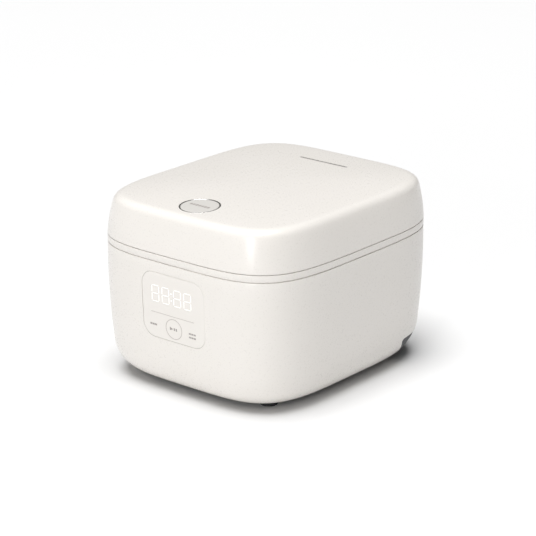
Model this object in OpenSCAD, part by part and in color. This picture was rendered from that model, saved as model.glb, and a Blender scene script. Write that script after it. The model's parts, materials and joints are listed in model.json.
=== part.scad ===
// Rice cooker with a flush rear-hinged lid, a push-button latch and a heated inner pot.
// Millimetres, +Z up, front towards -Y. The origin is on the floor, under the middle of the whole box.

/* [Body] */
// Width of the body at the seam
body_w = 250; // [235:1:320]
// Depth of the body at the seam, without the hinge
body_d = 290; // [270:1:360]
// Squareness of the outline: 2 is an ellipse, higher has squarer corners
body_square = 4.2; // [3.8:0.1:5]
// Height of the moulded body below the seam band
shell_h = 133; // [126:1:170]
// How much each side comes in at the bottom
side_taper = 5.3; // [3:0.1:8]
// How much each side bulges at half height
side_belly = 2.2; // [0:0.1:3]
// Extra come-in of the front and rear faces at the bottom
face_taper = 2.7; // [0:0.1:5]
// Radius of the bottom edge, measured sideways
foot_round_w = 17; // [12:0.5:20]
// Radius of the bottom edge, measured upwards
foot_round_h = 30; // [22:0.5:36]
// Wall of the outer plastic mouldings
wall = 2.5; // [2:0.1:3]
// Height of the seam band between body and lid
band_h = 6.7; // [5:0.1:10]
// Gap shown by each seam line
seam_gap = 0.8; // [0.4:0.1:1.2]

/* [Lid] */
// Height of the lid's side, up to its top edge
lid_side_h = 41.6; // [38:0.1:55]
// Come-in of the lid's left and right edge
lid_in_x = 10.7; // [6:0.1:14]
// Come-in of the lid's front and rear edge
lid_in_y = 6.9; // [4:0.1:12]
// How far the lid's top sits back from the middle of its foot
lid_set_back = 1.2; // [0:0.1:2]
// Squareness of the lid's top edge
lid_square = 4.75; // [4:0.05:5.5]
// Rise of the lid's top from its edge to its middle
crown_h = 4.1; // [2:0.1:8]
// Size of the rounding along the lid's top edge
edge_round = 7; // [4:0.5:10]

/* [Release button] */
// Diameter of the release button
button_d = 38; // [30:0.5:46]
// Width of the ring around the button
button_ring = 1.4; // [0.8:0.1:2]
// Gap all round the button
button_gap = 0.35; // [0.3:0.05:0.5]
// Distance of the button's centre in front of the middle
button_y = 103; // [98:0.5:108]
// Travel of the button
button_travel = 2.5; // [1.5:0.1:3]

/* [Steam outlet] */
// Length of the steam slot
slot_l = 62; // [40:1:70]
// Width of the steam slot
slot_w = 3; // [1.5:0.1:4]
// Distance of the slot behind the middle
slot_y = 91.5; // [80:0.5:98]

/* [Control panel] */
// Width of the control window
panel_w = 81; // [60:1:90]
// Height of the control window
panel_h = 69; // [50:1:74]
// Corner radius of the control window
panel_r = 15; // [6:0.5:20]
// Gap below the seam down to the window
panel_drop = 11; // [8:0.5:14]
// Gap all round the control window
panel_gap = 0.2; // [0.1:0.05:0.4]

/* [Pot and heating] */
// Outer radius of the pot's wall
pot_r = 102; // [84:0.5:104]
// Wall of the pot
pot_wall = 2; // [1.5:0.1:3]
// Width of the pot's rim
rim_w = 8; // [6:0.5:9]
// Thickness of the pot's rim
rim_t = 2; // [1.5:0.1:2.5]
// Corner radius at the pot's bottom
pot_round = 18; // [12:0.5:26]
// Height of the pot's underside above the base cover
pot_lift = 31.5; // [30:0.5:36]
// Radius of the heating plate
plate_r = 80; // [60:1:82]
// Thickness of the heating plate
plate_t = 8; // [6:0.5:10]
// Travel of the pot sensor
sensor_travel = 2.5; // [1.5:0.1:3]

/* [Hinge and feet] */
// Radius of the hinge pin
hinge_pin_r = 2; // [1.5:0.1:2.5]
// Running clearance of a pin in its bore
pin_play = 0.05; // [0.02:0.01:0.08]
// Outer radius of the hinge eyes
hinge_eye_r = 5.5; // [4.5:0.1:6]
// Height of the feet
foot_h = 7; // [5:0.5:12]
// Radius of the feet
foot_r = 9; // [7:0.5:11]

/* [Power inlet] */
// Width of the inlet's face
inlet_w = 31; // [28:0.5:34]
// Height of the inlet's face
inlet_h = 24; // [22:0.5:26]
// Depth of the socket
inlet_deep = 17; // [15:0.5:20]
// Distance of the inlet from the middle
inlet_x = 45; // [36:1:52]

/* [Hidden] */
$fn = 64;

// Finish colours
warm_white = [0.93, 0.92, 0.9];
light_grey = [0.75, 0.75, 0.74];
dark_grey = [0.24, 0.24, 0.25];
steel = [0.7, 0.71, 0.73];
cast_grey = [0.58, 0.59, 0.6];
coat_grey = [0.3, 0.3, 0.31];
board_green = [0.13, 0.36, 0.24];
amber = [0.75, 0.55, 0.25];
clear_rubber = [0.83, 0.83, 0.8];

// Clearances
fit_gap = 0.3;
touch_gap = 0.2;

// Main levels
shell_z = foot_h;
shell_top = shell_z + shell_h;
band_z = shell_top + seam_gap / 2;
band_top = band_z + band_h;
seam_z = band_top + seam_gap / 2;
lid_z = seam_z + seam_gap / 2;
edge_z = seam_z + lid_side_h;
deck_t = 2.5;
deck_z = band_top - wall;
deck_under = deck_z - deck_t;
ledge_t = 2.5;
ledge_z = shell_z + wall + 0.2;

// Outline
ring_points = 72;
half_w = body_w / 2;
half_d = body_d / 2;
hinge_y = half_d + hinge_eye_r + 1;
hinge_z = seam_z + 1;
hinge_out = hinge_y + hinge_eye_r - half_d;

// Hinge eyes and barrel, measured from the middle
eye_in = 20;
eye_out = 28;
barrel_half = 12;

// Bottom opening
opening_in = side_taper + foot_round_w + wall;
ledge_w = 11;
cover_gap = 0.4;
// Rear cut-out of the shell, seen from the side
cut_low_y = half_d - 63;
cut_high_y = half_d - 72;
cut_h = 22;
cut_corner = 4;
tub_in = 0.6;

// Pot and jacket
rim_r = pot_r + rim_w;
throat_r = pot_r + 3;
jacket_r = throat_r + 1;
jacket_t = 1;
jacket_flange = 6;
pot_z = shell_z + pot_lift;
rim_z = deck_z;
rim_top = rim_z + rim_t;
floor_z = pot_z - touch_gap - plate_t - 3.3;
jacket_z = floor_z - jacket_t;

heater_x = plate_r * 0.7;

// Pot sensor
cap_r = 16;
cap_t = 2;
stem_r = 5;
guide_z = shell_z + wall + 5;
guide_top = guide_z + 8;
clip_t = 1;

// Lid interior
liner_in = wall + 1;
liner_z = lid_z + 0.4;
liner_t = 2.5;
liner_top = liner_z + liner_t;
gasket_r = rim_r + 0.5;
drum_r = gasket_r + 0.5;
drum_wall = 2.5;
drum_h = 8.5;
drum_roof = liner_z + drum_h;
drum_top = drum_roof + drum_wall;
arm_y = drum_r + drum_wall + 3;
arm_screw_x = 16;
plate_in = 10;
lid_plate_t = 1.2;
lid_plate_z = liner_z + 3.6;
valve_y = 60;
valve_r = 13;
tube_r = 8;

// Button and latch
button_r = button_d / 2;
sleeve_r = button_r + button_gap;
hole_r = sleeve_r + button_ring;
button_at = -button_y;
button_top = crown_z(0, button_at);
sleeve_floor = 1.5;
button_t = 3;
skirt_h = 8.5;
sleeve_low = button_top - skirt_h - button_travel - sleeve_floor - 2.5;
latch_y = button_at - 18;
latch_z = sleeve_low - 10;
hub_r = 4;
latch_pin_r = 1.5;
hook_w = 18;
hook_t = 3;
nose_t = 3;
nose_l = 1.6;
hook_clear = 0.4;
hook_front = latch_y - 3.5;
hook_low = deck_under - 4;
slot_rear = hook_front + hook_t + nose_l + hook_clear;
slot_front = slot_rear - 11.5;
lever_top = latch_z + 3.5;
ear_w = 3;
ear_gap = 0.4;
spring_room = 3.6;

// Control panel
panel_top = shell_top - panel_drop;
panel_mid = panel_top - panel_h / 2;
key_z = panel_top - panel_h * 0.8;
key_pitch = 26;
board_front = -half_d + 11;
board_t = 1.6;
board_w = 116;
board_h = 74;
boss_x = board_w / 2 - 5;
boss_dz = board_h / 2 - 4;
screw_r = 1.5;
pilot_gap = 0.1;

// Power board
power_y = half_d - 32.5;
power_w = 76;
power_x = inlet_x - inlet_w / 2 - power_w / 2 - 26;
power_h = 58;
power_z = shell_z + 7;
inlet_z = shell_z + 38;
inlet_room = 26;

// Height of the lid's top at a point
function crown_r(x, y) =
    let (n = lid_square, fx = abs(x) / (half_w - lid_in_x), fy = abs(y - lid_set_back) / (half_d - lid_in_y))
    pow(pow(fx, n) + pow(fy, n), 1 / n);
function crown_z(x, y) = edge_z + crown_h * (1 - pow(crown_r(x, y), 2));

// Come-in of the body's side and of its front and rear, for s from 0 at the top to 1 at the bottom
function side_in(s) = side_taper * s - 4 * side_belly * s * (1 - s);
function depth_of(z) = (shell_top - z) / shell_h;
function end_y(z) = half_d - side_in(depth_of(z)) - face_taper * depth_of(z);

// One closed outline: half sizes, squareness, height and set-back
function corner_pow(v, n) = sign(v) * pow(abs(v), 2 / n);
function ring(v) = [for (i = [0:ring_points - 1]) let (t = 360 * i / ring_points)
    [v[0] * corner_pow(cos(t), v[2]), v[4] + v[1] * corner_pow(sin(t), v[2]), v[3]]];
function body_ring(come_in, z) =
    ring([half_w - come_in, half_d - come_in - face_taper * depth_of(z), body_square, z, 0]);
function flat_ring(come_in, z) = ring([half_w - come_in, half_d - come_in, body_square, z, 0]);

// The body's profile from the bottom up, set in by w, as [come-in, height]
function body_line(w) = concat(
    [for (q = [90:-15:0])
        let (z = shell_z + w + (foot_round_h - w) * (1 - sin(q)))
        [side_in(depth_of(z)) + foot_round_w * (1 - cos(q)) + w, z]],
    [for (k = [1:6])
        let (z = shell_z + foot_round_h + (shell_h - foot_round_h - seam_gap / 2) * k / 6)
        [side_in(depth_of(z)) + w, z]]);
function body_rings(line) = [for (p = line) body_ring(p[0], p[1])];
function turned(list) = [for (i = [len(list) - 1:-1:0]) list[i]];

// The lid's outline at side fraction s, and its top at scale r
function lid_at(s) =
    let (f = (s + s * s) / 2)
    [half_w - lid_in_x * f, half_d - lid_in_y * f, body_square + (lid_square - body_square) * s,
        seam_z + lid_side_h * s, lid_set_back * s];
function top_at(r) = [(half_w - lid_in_x) * r, (half_d - lid_in_y) * r, lid_square,
    edge_z + crown_h * (1 - r * r), lid_set_back];
function blend(a, b, c, q) = (1 - q) * (1 - q) * a + 2 * q * (1 - q) * b + q * q * c;
// The lid's skin from its lower edge to the middle, set in by w
function lid_line(w) =
    let (low = seam_gap / 2 / lid_side_h, s1 = 1 - edge_round / lid_side_h,
        r1 = 1 - edge_round / (half_w - lid_in_x), in_side = [w, w, 0, 0, 0], in_top = [0, 0, 0, w, 0])
    concat(
        [for (k = [0:4]) lid_at(low + (s1 - low) * k / 4) - in_side],
        [for (q = [0.2:0.2:1.001])
            blend(lid_at(s1) - in_side, lid_at(1) - in_side - in_top, top_at(r1) - in_top, q)],
        [for (r = [0.8, 0.6, 0.4, 0.2, 0.03]) top_at(r) - in_top]);
function lid_rings(w) = [for (v = lid_line(w)) ring(v)];

// Skins a stack of rings. A looped stack joins its last ring to its first, any other gets flat ends
module skin(rings, looped = false) {
    n = len(rings[0]);
    m = len(rings);
    sides = [for (j = [0:(looped ? m - 1 : m - 2)], i = [0:n - 1])
        let (k = (i + 1) % n, r = (j + 1) % m)
        each [[j * n + i, r * n + i, r * n + k], [j * n + i, r * n + k, j * n + k]]];
    ends = looped ? [] : [[for (i = [0:n - 1]) i], [for (i = [n - 1:-1:0]) (m - 1) * n + i]];
    polyhedron([for (g = rings, p = g) p], concat(sides, ends));
}

// Puts a piece drawn about the outline's middle into the frame of the whole box
module centred() {
    translate([0, -hinge_out / 2, 0]) children();
}

// Cylinder along Y that starts at y and runs back by l
module along_y(x, y, z, r, l) {
    translate([x, y, z]) rotate([-90, 0, 0]) cylinder(r = r, h = l);
}

// Cylinder along X that starts at x and runs right by l
module along_x(x, y, z, r, l) {
    translate([x, y, z]) rotate([0, 90, 0]) cylinder(r = r, h = l);
}

module round_rect(w, h, r) {
    union() {
        square([w - 2 * r, h], center = true);
        square([w, h - 2 * r], center = true);
        for (sx = [-1, 1], sy = [-1, 1]) translate([sx * (w / 2 - r), sy * (h / 2 - r)]) circle(r = r);
    }
}

// Rounded block along Y between two depths, for the control window
module panel_block(y0, y1, grow) {
    translate([0, y1, panel_mid]) rotate([90, 0, 0]) linear_extrude(y1 - y0)
        round_rect(panel_w + 2 * grow, panel_h + 2 * grow, panel_r + grow);
}

// Stack of wire turns about Z, as a spring
module spring_turns(r, wire, h, turns) {
    for (k = [0:turns - 1]) translate([0, 0, wire + (h - 2 * wire) * k / (turns - 1)])
        rotate_extrude($fn = 40) translate([r, 0]) circle(r = wire, $fn = 16);
}

// Pan-head screw pointing up from z
module screw_up(x, y, z, l, head_r = 2.8) {
    translate([x, y, z - 1.8]) cylinder(r = head_r, h = 1.8, $fn = 32);
    translate([x, y, z]) cylinder(r = screw_r, h = l, $fn = 24);
}

// Side view of the rear cut-out, shrunk by g, over the full width
module rear_cut(g) {
    top = shell_z + cut_h - g;
    rotate([90, 0, 90]) linear_extrude(body_w + 40, center = true)
        polygon([[cut_low_y + g, shell_z - 5], [cut_low_y + g, shell_z + 1],
            [cut_high_y + g, top - cut_corner], [cut_high_y + cut_corner + g, top],
            [half_d + 20, top], [half_d + 20, shell_z - 5]]);
}

// Places of the repeated fasteners and feet
foot_x = half_w - 47;
foot_y = half_d - 53;
base_screw_x = half_w - opening_in - ledge_w / 2;
base_screw_y = 40;
lid_boss_x = half_w - 37;
lid_boss_y = half_d - 37;
bracket_w = 68;
bracket_low = shell_top - 30;
bracket_t = 3.5;
bracket_face = half_d - 1.1;
bracket_back = bracket_face + bracket_t;
bracket_screw_x = bracket_w / 2 - 3;
bracket_screw_dz = [6, 22];

module base_screw_spots() {
    for (sx = [-1, 1], sy = [-1, 1]) translate([sx * base_screw_x, sy * base_screw_y, 0]) children();
}

// Solid of the body's outside, shrunk by come_in
module body_solid(come_in) {
    skin([for (p = body_line(0)) body_ring(p[0] + come_in, p[1])]);
}

// Space inside the body's wall, open at both ends
module body_hollow() {
    skin(body_rings(concat([[opening_in, shell_z - 2]], body_line(wall), [[wall, shell_top + 2]])));
}

// Ledge inside the bottom opening, for the cover's screws
module ledge() {
    difference() {
        skin([body_ring(opening_in - 4.5, ledge_z), body_ring(opening_in - 4.5, ledge_z + ledge_t)]);
        skin([body_ring(opening_in + ledge_w, ledge_z - 1),
            body_ring(opening_in + ledge_w, ledge_z + ledge_t + 1)]);
    }
}

module outer_shell() {
    color(warm_white) centred() difference() {
        union() {
            difference() {
                body_solid(0);
                body_hollow();
            }
            ledge();
            for (sx = [-1, 1], z = [panel_mid - boss_dz, panel_mid + boss_dz])
                along_y(sx * boss_x, 2.4 - end_y(z), z, 3.5, board_front - 2.4 + end_y(z));
        }
        panel_block(-half_d - 5, -half_d + 8, 0);
        rear_cut(0);
        for (sx = [-1, 1], sz = [-1, 1])
            along_y(sx * boss_x, board_front - 5, panel_mid + sz * boss_dz, screw_r + pilot_gap, 6);
        translate([inlet_x - inlet_w / 2, half_d - 12, inlet_z - inlet_h / 2]) cube([inlet_w, 20, inlet_h]);
        translate([-bracket_w / 2 - touch_gap, bracket_face, bracket_low - touch_gap])
            cube([bracket_w + 2 * touch_gap, 10, shell_h]);
        for (sx = [-1, 1], dz = bracket_screw_dz)
            along_y(sx * bracket_screw_x, half_d - 12, bracket_low + dz, screw_r + pilot_gap, 20);
        base_screw_spots() translate([0, 0, shell_z]) cylinder(r = screw_r + pilot_gap, h = 8, $fn = 24);
    }
}

module base_cover() {
    rib = 1.5;
    vent_x = 42;
    vent_l = 32;
    color(dark_grey) centred() difference() {
        union() {
            skin([body_ring(opening_in + cover_gap, shell_z),
                body_ring(opening_in + cover_gap, shell_z + wall)]);
            intersection() {
                difference() {
                    body_solid(tub_in);
                    skin([for (p = body_line(wall)) body_ring(p[0] + tub_in, p[1])]);
                }
                rear_cut(fit_gap);
            }
            for (sx = [-1, 1])
                translate([power_x + sx * (power_w / 2 - 4) - 3, power_y - rib, shell_z + wall - 0.5])
                    cube([6, board_t + 2 * rib, 12]);
        }
        translate([power_x - power_w / 2 - 1, power_y - 0.1, power_z - 0.1])
            cube([power_w + 2, board_t + 0.2, 20]);
        base_screw_spots() translate([0, 0, shell_z - 1]) cylinder(r = screw_r + 0.3, h = 6, $fn = 24);
        for (sx = [-1, 1], k = [0:6]) translate([sx * vent_x - vent_l / 2, 12 * (k - 3) - 2, shell_z - 1])
            cube([vent_l, 4, 6]);
        for (sx = [-1, 1], sy = [-1, 1])
            translate([sx * foot_x, sy * foot_y, shell_z - 1]) cylinder(r = 3, h = 6, $fn = 32);
    }
}

module feet() {
    color(dark_grey) centred() for (sx = [-1, 1], sy = [-1, 1]) translate([sx * foot_x, sy * foot_y, 0])
        rotate_extrude() polygon([[0, 1.5], [foot_r - 4, 1.5], [foot_r - 4, 0], [foot_r - 0.8, 0],
            [foot_r, 0.8], [foot_r, foot_h], [2.9, foot_h], [2.9, foot_h + wall], [0, foot_h + wall]]);
}

module base_screws() {
    color(steel) centred() base_screw_spots() screw_up(0, 0, shell_z, 6);
}

module seam_band() {
    lip = wall + 0.4;
    color(warm_white) centred() difference() {
        union() {
            skin([flat_ring(0, band_z), flat_ring(0, band_top)]);
            skin([flat_ring(lip, shell_top - 5), flat_ring(lip, band_z)]);
        }
        skin([flat_ring(wall, deck_z), flat_ring(wall, band_top + 1)]);
        skin([flat_ring(lip + 2, shell_top - 6), flat_ring(lip + 2, deck_under)]);
        translate([0, 0, deck_under - 2]) cylinder(r = throat_r, h = 10, $fn = 128);
        translate([-hook_w / 2 - 1.5, slot_front, deck_under - 1])
            cube([hook_w + 3, slot_rear - slot_front, 8]);
        for (sx = [-1, 1]) translate([sx * (hook_w / 2 + 5), slot_rear + 3, deck_under - 1])
            cylinder(r = screw_r + pilot_gap, h = 3, $fn = 24);
        translate([-bracket_w / 2, half_d - 10, shell_top - 8]) cube([bracket_w, 20, band_z - shell_top + 8]);
    }
}

module latch_catch() {
    color(steel) centred() difference() {
        translate([-hook_w / 2 - 9, slot_rear, deck_under - 1.5])
            cube([hook_w + 18, -jacket_r - jacket_t - jacket_flange - 0.5 - slot_rear, 1.5]);
        for (sx = [-1, 1]) translate([sx * (hook_w / 2 + 5), slot_rear + 3, deck_under - 3])
            cylinder(r = screw_r, h = 5, $fn = 24);
    }
}

module catch_screws() {
    color(steel) centred() for (sx = [-1, 1])
        screw_up(sx * (hook_w / 2 + 5), slot_rear + 3, deck_under - 1.5, 3.2, 2.6);
}

// Window whose face follows the body's curve
module panel_window() {
    color(warm_white) centred() intersection() {
        panel_block(-half_d - 5, -half_d + 8, -panel_gap);
        difference() {
            body_solid(0);
            body_hollow();
        }
    }
}

module display_module() {
    front = -end_y(panel_mid) + wall + 0.8;
    color(dark_grey) centred() difference() {
        translate([-29, front, panel_mid + 2]) cube([58, board_front - front, 26]);
        translate([-27, front - 1, panel_mid + 4]) cube([54, 2, 22]);
    }
}

module key_springs() {
    front = -end_y(key_z) + wall + 0.8;
    color(steel) centred() for (k = [-1:1]) translate([k * key_pitch, front, key_z]) rotate([-90, 0, 0])
        spring_turns(4, 0.4, board_front - front, 5);
}

module control_board() {
    color(board_green) centred() difference() {
        union() {
            translate([-board_w / 2, board_front, panel_mid - board_h / 2]) cube([board_w, board_t, board_h]);
            translate([-8, board_front + board_t, panel_mid - 8]) cube([16, 2.5, 16]);
            translate([-44, board_front + board_t, panel_mid + 6]) cube([20, 6, 8]);
            translate([22, board_front + board_t, panel_mid - 28]) cube([14, 8, 7]);
        }
        for (sx = [-1, 1], sz = [-1, 1])
            along_y(sx * boss_x, board_front - 1, panel_mid + sz * boss_dz, screw_r + 0.2, board_t + 2);
    }
}

module board_screws() {
    color(steel) centred() for (sx = [-1, 1], sz = [-1, 1]) {
        along_y(sx * boss_x, board_front - 4.5, panel_mid + sz * boss_dz, screw_r, 4.5 + board_t);
        along_y(sx * boss_x, board_front + board_t, panel_mid + sz * boss_dz, 2.8, 1.8);
    }
}

// Metal cup around the pot, hung from the deck by its flange
module jacket() {
    out_r = jacket_r + jacket_t;
    flange_r = out_r + jacket_flange;
    color(steel) centred() difference() {
        rotate_extrude($fn = 128) polygon([[0, jacket_z], [out_r, jacket_z], [out_r, deck_under - jacket_t],
            [flange_r, deck_under - jacket_t], [flange_r, deck_under], [jacket_r, deck_under],
            [jacket_r, floor_z], [0, floor_z]]);
        translate([0, 0, jacket_z - 1]) cylinder(r = cap_r + 3, h = 4);
        plate_spots() translate([0, 0, jacket_z - 1]) cylinder(r = screw_r + 0.2, h = 4, $fn = 24);
        for (sx = [-1, 1]) translate([sx * heater_x, 0, jacket_z - 1]) cylinder(r = 6, h = 4, $fn = 32);
        for (a = [30, 150, 270]) rotate(a) translate([23, 0, jacket_z - 1])
            cylinder(r = 1.2, h = 4, $fn = 24);
    }
}

// Places of the three screws under the heating plate
module plate_spots() {
    for (a = [90, 210, 330]) rotate(a) translate([plate_r * 0.62, 0, 0]) children();
}

module heating_plate() {
    top = pot_z - touch_gap;
    low = top - plate_t;
    color(cast_grey) centred() difference() {
        union() {
            rotate_extrude($fn = 128) polygon([[cap_r + 2.5, low], [plate_r - 3, low], [plate_r, low + 2],
                [plate_r, top - 2], [plate_r - 2, top], [cap_r + 2.5, top]]);
            plate_spots() translate([0, 0, floor_z]) cylinder(r = 5, h = low - floor_z + 1);
            for (sx = [-1, 1]) translate([sx * heater_x, 0, jacket_z - 5])
                cylinder(r = 3.5, h = low - jacket_z + 6);
        }
        plate_spots() translate([0, 0, floor_z - 1]) cylinder(r = screw_r, h = 7, $fn = 24);
    }
}

module plate_screws() {
    color(steel) centred() plate_spots() screw_up(0, 0, jacket_z, 6);
}

// Tube that guides the pot sensor, with a flange under the jacket's floor
module sensor_guide() {
    color(light_grey) centred() difference() {
        union() {
            translate([0, 0, guide_z]) cylinder(r = 8, h = guide_top - guide_z);
            translate([0, 0, jacket_z - 1.5]) cylinder(r = 26, h = 1.5);
            difference() {
                translate([0, 0, guide_top - 1.5]) cylinder(r = 13, h = jacket_z - guide_top + 1.5);
                translate([0, 0, guide_top]) cylinder(r = 11.5, h = 20);
            }
        }
        translate([0, 0, guide_z - 1]) cylinder(r = stem_r + pin_play, h = 20);
        translate([0, 0, guide_top]) cylinder(r = 11.5, h = 20);
    }
}

module sensor_spring() {
    color(steel) centred() translate([0, 0, guide_top])
        spring_turns(8.5, 0.6, pot_z - touch_gap - cap_t - guide_top, 7);
}

module pot_sensor() {
    top = pot_z - touch_gap;
    skirt_low = jacket_z + sensor_travel + 1;
    color(steel) centred() {
        difference() {
            translate([0, 0, skirt_low]) cylinder(r = cap_r, h = top - skirt_low);
            translate([0, 0, skirt_low - 1]) cylinder(r = cap_r - 1.2, h = top - cap_t - skirt_low + 1);
        }
        translate([0, 0, guide_z - clip_t]) cylinder(r = stem_r, h = top - cap_t - guide_z + clip_t + 0.5);
        translate([0, 0, guide_z - clip_t - 0.1]) cylinder(r = stem_r + 1.5, h = clip_t);
    }
}

module thermal_fuse() {
    color(steel) centred() {
        along_x(-9, -48, jacket_z - 2.6, 2.4, 18);
        translate([-3, -53, jacket_z - 1]) cube([6, 10, 1]);
    }
}

module power_board() {
    color(board_green) centred() translate([power_x - power_w / 2, power_y, power_z])
        cube([power_w, board_t, power_h]);
}

// Transformer, relay, capacitors and terminals on the power board
module power_parts() {
    face = power_y + board_t;
    color(amber) centred() {
        translate([power_x - 4, face, power_z + 20]) cube([24, 13, 20]);
        translate([power_x + 22, face, power_z + 22]) cube([12, 12, 16]);
        for (k = [0:2]) along_y(power_x - 27 + 10 * k - 2, face, power_z + 48, 4, 9);
        translate([power_x - 30, face, power_z + 22]) cube([20, 6, 8]);
        translate([power_x + 8, face, power_z + 44]) cube([26, 8, 8]);
    }
}

// Three blades, the middle one higher, from y on
module blades(y) {
    for (k = [-1:1]) translate([inlet_x + 7 * k - 1, y, inlet_z + (k == 0 ? 0 : -4)])
        cube([2, inlet_room, 4]);
}

module power_inlet() {
    face = end_y(inlet_z) + 1;
    socket_x = inlet_w / 2 - 3.5;
    socket_z = inlet_h / 2 - 3.5;
    color(dark_grey) centred() difference() {
        union() {
            translate([inlet_x - inlet_w / 2 + touch_gap, face - 6, inlet_z - inlet_h / 2 + touch_gap])
                cube([inlet_w - 2 * touch_gap, 6, inlet_h - 2 * touch_gap]);
            translate([inlet_x - inlet_w / 2 + 2, face - inlet_room, inlet_z - inlet_h / 2 + 2])
                cube([inlet_w - 4, inlet_room - 3, inlet_h - 4]);
        }
        translate([inlet_x, face + 1, inlet_z]) rotate([90, 0, 0]) linear_extrude(inlet_deep + 1)
            polygon([[-socket_x, -socket_z], [socket_x, -socket_z], [socket_x, 3], [socket_x - 4.5, socket_z],
                [-socket_x + 4.5, socket_z], [-socket_x, 3]]);
        blades(face - inlet_room - 1);
    }
}

module inlet_pins() {
    face = end_y(inlet_z) + 1;
    color(steel) centred() blades(face - inlet_room - 5);
}

module inner_pot() {
    ri = pot_r - pot_wall;
    rr = pot_round;
    color(coat_grey) centred() rotate_extrude($fn = 128) union() {
        difference() {
            union() {
                translate([0, pot_z]) square([pot_r - rr, rr]);
                translate([0, pot_z + rr]) square([pot_r, rim_z - pot_z - rr + rim_t]);
                intersection() {
                    translate([pot_r - rr, pot_z + rr]) circle(r = rr, $fn = 96);
                    translate([0, pot_z]) square([pot_r, rr + 1]);
                }
            }
            translate([-1, pot_z + pot_wall]) square([ri - rr + pot_wall + 1, rr]);
            translate([-1, pot_z + rr]) square([ri + 1, rim_top - pot_z]);
            intersection() {
                translate([pot_r - rr, pot_z + rr]) circle(r = rr - pot_wall, $fn = 96);
                translate([0, pot_z]) square([pot_r, rr + 1]);
            }
        }
        translate([ri, rim_z]) square([rim_r - ri - rim_t / 2, rim_t]);
        translate([rim_r - rim_t / 2, rim_z + rim_t / 2]) circle(r = rim_t / 2, $fn = 32);
    }
}

// Plate in a pocket of the shell, with two eyes for the hinge pin
module hinge_bracket() {
    color(warm_white) centred() difference() {
        union() {
            translate([-bracket_w / 2, bracket_face, bracket_low])
                cube([bracket_w, bracket_t, shell_top - seam_gap / 2 - bracket_low]);
            for (sx = [-1, 1]) translate([sx * (eye_in + eye_out) / 2, 0, 0]) rotate([90, 0, 90])
                linear_extrude(eye_out - eye_in, center = true) union() {
                    translate([hinge_y, hinge_z]) circle(r = hinge_eye_r);
                    polygon([[hinge_y - hinge_eye_r, hinge_z], [hinge_y + hinge_eye_r, hinge_z],
                        [hinge_y + hinge_eye_r, hinge_z - 6], [bracket_face + bracket_t, hinge_z - 22],
                        [bracket_face + 1, hinge_z - 22], [bracket_face + 1, shell_top - 1],
                        [hinge_y - hinge_eye_r, shell_top - 1]]);
                }
        }
        along_x(-eye_out - 1, hinge_y, hinge_z, hinge_pin_r, 2 * eye_out + 2);
        for (sx = [-1, 1], dz = bracket_screw_dz)
            along_y(sx * bracket_screw_x, half_d - 8, bracket_low + dz, screw_r + 0.2, 20);
    }
}

module bracket_screws() {
    color(steel) centred() for (sx = [-1, 1], dz = bracket_screw_dz) {
        along_y(sx * bracket_screw_x, half_d - 9, bracket_low + dz, screw_r, bracket_back - half_d + 9);
        along_y(sx * bracket_screw_x, bracket_back, bracket_low + dz, 2.8, 1.6);
    }
}

module hinge_pin() {
    color(steel) centred() along_x(-eye_out - 1, hinge_y, hinge_z, hinge_pin_r, 2 * eye_out + 2);
}

module hinge_springs() {
    room = eye_in - barrel_half - 1;
    color(steel) centred() for (sx = [-1, 1])
        translate([sx > 0 ? barrel_half + 0.5 : -eye_in + 0.5, hinge_y, hinge_z]) rotate([0, 90, 0])
            spring_turns(hinge_pin_r + 1.2, 0.5, room, 6);
}

// Arm on the lid's liner, out through the rear of the lid to the hinge pin
module hinge_arm() {
    barrel_r = hinge_eye_r - 0.5;
    color(light_grey) centred() difference() {
        union() {
            translate([-barrel_half, arm_y, liner_top + 0.1]) cube([2 * barrel_half, hinge_y - arm_y, 5]);
            along_x(-barrel_half, hinge_y, hinge_z, barrel_r, 2 * barrel_half);
            translate([-barrel_half - 10, arm_y, liner_top + 0.1]) cube([2 * barrel_half + 20, 14, 5]);
        }
        along_x(-barrel_half - 1, hinge_y, hinge_z, hinge_pin_r + pin_play, 2 * barrel_half + 2);
        for (sx = [-1, 1]) translate([sx * arm_screw_x, arm_y + 7, liner_top - 1])
            cylinder(r = screw_r, h = 5.1, $fn = 24);
    }
}

module arm_screws() {
    color(steel) centred() for (sx = [-1, 1]) screw_up(sx * arm_screw_x, arm_y + 7, liner_z + 0.6, 5.4);
}

module lid_shell() {
    boss_top = crown_z(lid_boss_x, lid_boss_y) - wall + 0.5;
    color(warm_white) centred() difference() {
        union() {
            skin(concat(turned(lid_rings(wall)), lid_rings(0)));
            for (sx = [-1, 1], sy = [-1, 1]) translate([sx * lid_boss_x, sy * lid_boss_y, liner_top + 0.1])
                cylinder(r = 4, h = boss_top - liner_top - 0.1, $fn = 32);
        }
        for (sx = [-1, 1], sy = [-1, 1]) translate([sx * lid_boss_x, sy * lid_boss_y, liner_top - 1])
            cylinder(r = screw_r, h = 9, $fn = 24);
        translate([0, button_at, edge_z - 12]) cylinder(r = hole_r, h = 40, $fn = 96);
        translate([0, slot_y, edge_z - 12]) linear_extrude(40) round_rect(slot_l, slot_w, slot_w / 2 - 0.01);
        translate([-barrel_half - 0.6, half_d - 12, lid_z - 1]) cube([2 * barrel_half + 1.2, 20, 11]);
    }
}

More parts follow.
